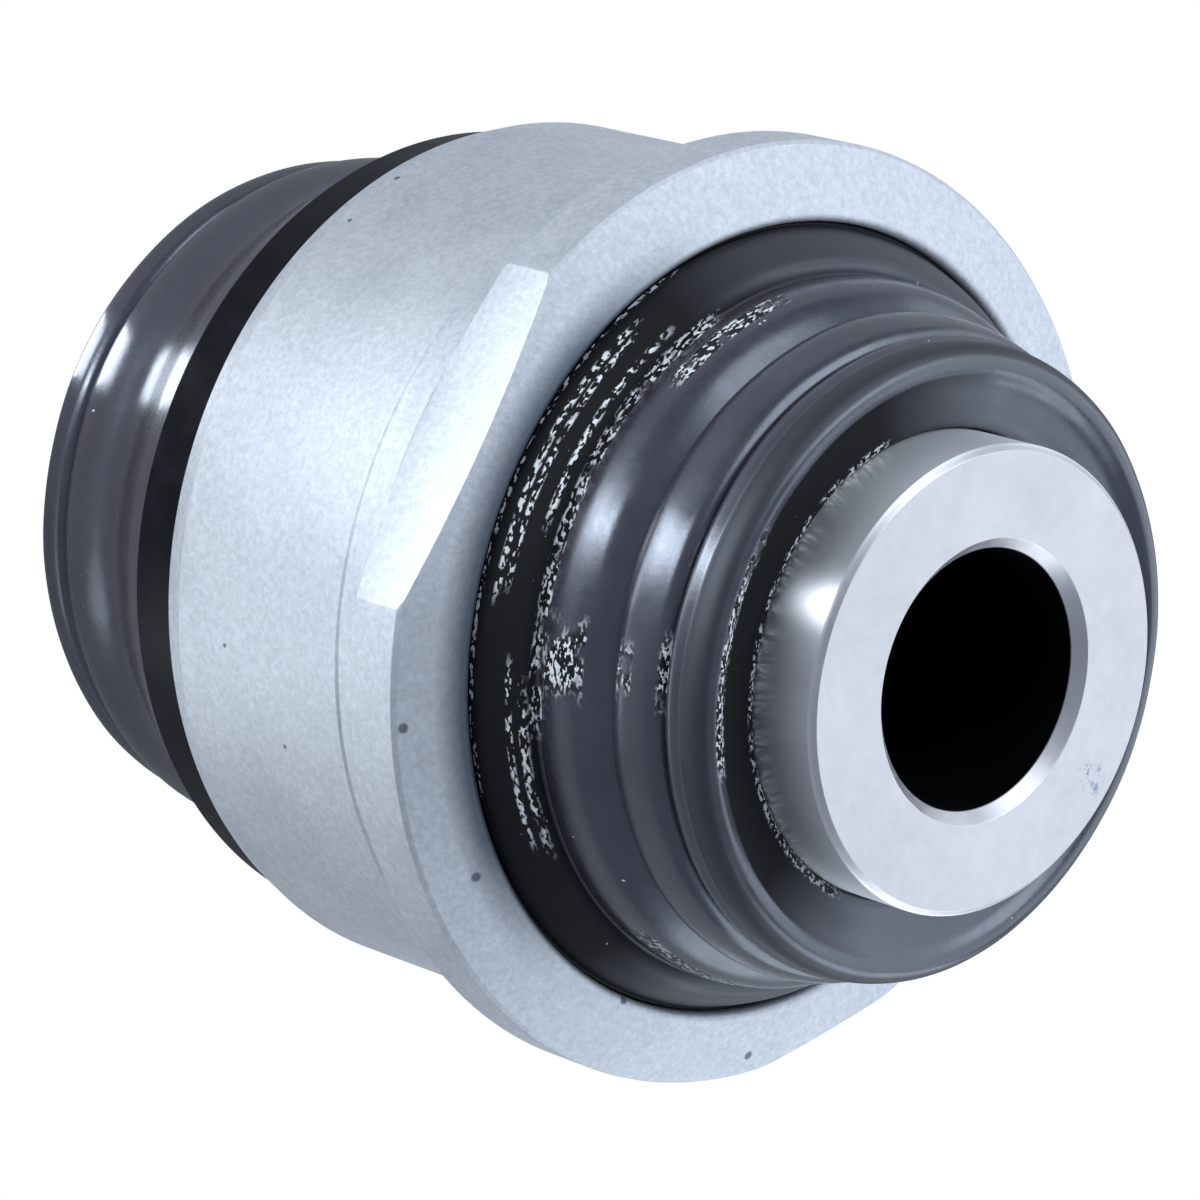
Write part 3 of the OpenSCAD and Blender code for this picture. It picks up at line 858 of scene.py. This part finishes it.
# %% Turn the ball sleeve
HALF_LENGTH = 26.0
BORE_CHAMFER, SLEEVE_CHAMFER = 0.6, 0.3
SLEEVE_EDGE = 0.05
neck_angle = math.asin(math.sqrt(BALL_R**2 - SLEEVE_R**2) / BALL_R)
ball = [(BALL_R * math.cos(a), BALL_R * math.sin(a), 0.0) for a in np.linspace(-neck_angle, neck_angle, 61)]
rear_end = [
    (BORE_R, -HALF_LENGTH + BORE_CHAMFER, SLEEVE_EDGE),
    (BORE_R + BORE_CHAMFER, -HALF_LENGTH, SLEEVE_EDGE),
    (SLEEVE_R - SLEEVE_CHAMFER, -HALF_LENGTH, SLEEVE_EDGE),
    (SLEEVE_R, -HALF_LENGTH + SLEEVE_CHAMFER, SLEEVE_EDGE),
]
front_end = [(r, -z, edge) for r, z, edge in reversed(rear_end)]
sleeve_stations = front_end[-1:] + rear_end + ball + front_end[:-1]
sleeve = turn("sleeve_with_ball", outline(sleeve_stations, steps=4), turned_steel, sharp=25)
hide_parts("ball_sleeve")
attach(sleeve, "sleeve")

# %% [markdown]
# ## The front boot
# The bellows that shows most. Its outline runs from the bead in the mouth over a cone-shaped band to a
# crease, over a first rounded fold into a valley, over a wider second fold into the sharp crease behind the
# collar, and round the collar, with the mould's parting line on it, to the lip on the sleeve. Each stretch
# between two creases is a curve of its own, because one curve through all the points would round the
# creases off. Modelled by hand, the folds would never be round. The real boot bends with the sleeve; here
# its mesh is made fine along the folds.

# %% Mould the front boot
MOULDED = {"steps": 320, "waviness": 0.12, "sharp": 60}
LONGEST_SIDE = 0.5


def boot_outline(outside, inside):
    """Smooth curves along the stretches of a boot's outside, then the sides of its inside, cut up.

    fill_in takes the inside as closed, so its points also run back from the last to the first. In the mesh
    that is a thin sheet, hidden inside the boot, which a later version should leave out.
    """
    points = []
    for stretch in outside:
        points += flowing(stretch)[:-1]
    return points + fill_in([np.array(p) for p in inside], LONGEST_SIDE)[:-1]


front_band = [
    (18.75, 11.8), (18.66, 12.15), (18.45, 12.7), (18.15, 13.3), (17.82, 13.85), (17.48, 14.18),
    (17.15, 14.25), (16.85, 14.2),
]
front_fold_1 = [
    (16.85, 14.2), (16.86, 14.6), (16.9, 15.1), (16.87, 15.7), (16.72, 16.35), (16.35, 17.0),
    (15.88, 17.48), (15.52, 17.82),
]
front_fold_2 = [
    (15.52, 17.82), (15.68, 18.0), (15.79, 18.25), (15.84, 18.6), (15.78, 19.19), (15.6, 19.87),
    (15.3, 20.42), (14.95, 20.62), (14.5, 20.66),
]
front_collar = [
    (14.5, 20.66), (14.85, 20.74), (15.1, 20.9), (15.18, 21.15), (15.14, 21.42), (14.99, 21.66),
    (15.03, 21.88), (15.03, 22.3), (14.9, 22.72), (14.6, 23.03), (14.2, 23.18), (13.8, 23.08),
    (13.5, 22.88), (13.1, 22.74), (12.3, 22.6), (11.55, 22.45), (11.2, 22.36), (11.05, 22.2),
]
front_inside = [
    (11.05, 22.2), (11.05, 20.7), (11.45, 19.9), (13.6, 19.45), (14.6, 19.2), (14.4, 18.4),
    (14.3, 17.9), (15.1, 16.8), (15.7, 16.0), (15.75, 15.1), (15.65, 14.2), (16.0, 12.7),
    (16.57, 11.3), (16.57, 9.6), (16.67, 9.5), (18.27, 9.5), (18.27, 11.72), (18.7, 11.72),
]
front_points = boot_outline((front_band, front_fold_1, front_fold_2, front_collar), front_inside)
front_boot = turn("front_bellows", front_points, rubber, **MOULDED)
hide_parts("front_boot")
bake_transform(front_boot)

# %% [markdown]
# ## The rear boot
# A longer and plainer bellows: a rim clamped on the spigot, a flare, one long hollow and a soft fold, a
# crease, and a collar larger than the front one. It could be the front boot mirrored, but the photograph
# shows a different shape, so it has an outline of its own and shares only the way it is made.

# %% Mould the rear boot
rear_folds = [
    (19.4, -11.25), (19.22, -11.9), (18.85, -13.0), (18.25, -14.2), (17.6, -15.3), (17.2, -16.3),
    (17.15, -17.2), (17.32, -18.0), (17.45, -18.8), (17.4, -19.6), (17.1, -20.4), (16.35, -21.25),
]
rear_collar = [
    (16.35, -21.25), (16.68, -21.5), (16.83, -21.9), (16.85, -22.3), (16.7, -22.8), (16.3, -23.12),
    (15.8, -23.19), (15.3, -23.05), (14.9, -22.8), (14.3, -22.68), (12.6, -22.62), (11.55, -22.6),
    (11.2, -22.5), (11.05, -22.3),
]
rear_inside = [
    (11.05, -22.3), (11.05, -21.6), (11.45, -20.85), (14.6, -20.4), (16.2, -19.7), (16.4, -18.9),
    (16.3, -18.2), (16.02, -17.0), (16.2, -15.9), (17.2, -13.95), (18.1, -12.2), (18.43, -11.4),
    (18.43, -9.87), (17.73, -9.87), (17.73, -8.73), (18.43, -8.73), (18.43, -7.75), (19.4, -7.75),
    (19.4, -11.0),
]
rear_points = boot_outline((rear_folds, rear_collar), rear_inside)
rear_boot = turn("rear_bellows", rear_points, rubber, **MOULDED)
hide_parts("rear_boot")
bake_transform(rear_boot)

# %% [markdown]
# ## Clamp rings
# The front ring shows as a hair-thin black line inside the lip, the rear one as the black band behind the
# body. They could keep the meshes of the solids, but the band's rounded edges catch light, so both are
# turned again with a small radius on each corner that shows.

# %% Turn the clamp rings
front_ring_stations = [(18.3, 9.5, 0.0), (18.97, 9.5, 0.0), (18.97, 11.72, 0.1), (18.3, 11.72, 0.05)]
front_clamp = turn("front_ring", outline(front_ring_stations), black_steel)
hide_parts("front_clamp_ring")
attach(front_clamp, "housing")

rear_ring_stations = [(19.43, -7.8, 0.05), (19.93, -7.8, 0.16), (19.93, -11.2, 0.16), (19.43, -11.2, 0.05)]
rear_clamp = turn("rear_ring", outline(rear_ring_stations), black_steel)
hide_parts("rear_clamp_ring")
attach(rear_clamp, "housing")

# %% [markdown]
# ## Pieces inside
# The shells, the closing ring and the rings in the collars have the right shape in the solids already.
# Turning them again would gain nothing, because no side shows them, so they stay and only take their finish.

# %% Finish the inner pieces
for name, finish in {
    "front_bearing_shell": shell_plastic,
    "rear_bearing_shell": shell_plastic,
    "front_closing_ring": plain_steel,
    "front_neck_ring": plain_steel,
    "rear_neck_ring": plain_steel,
}.items():
    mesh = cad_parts[name].data
    mesh.materials.clear()
    mesh.materials.append(finish)
    print(name, "takes", finish.name)
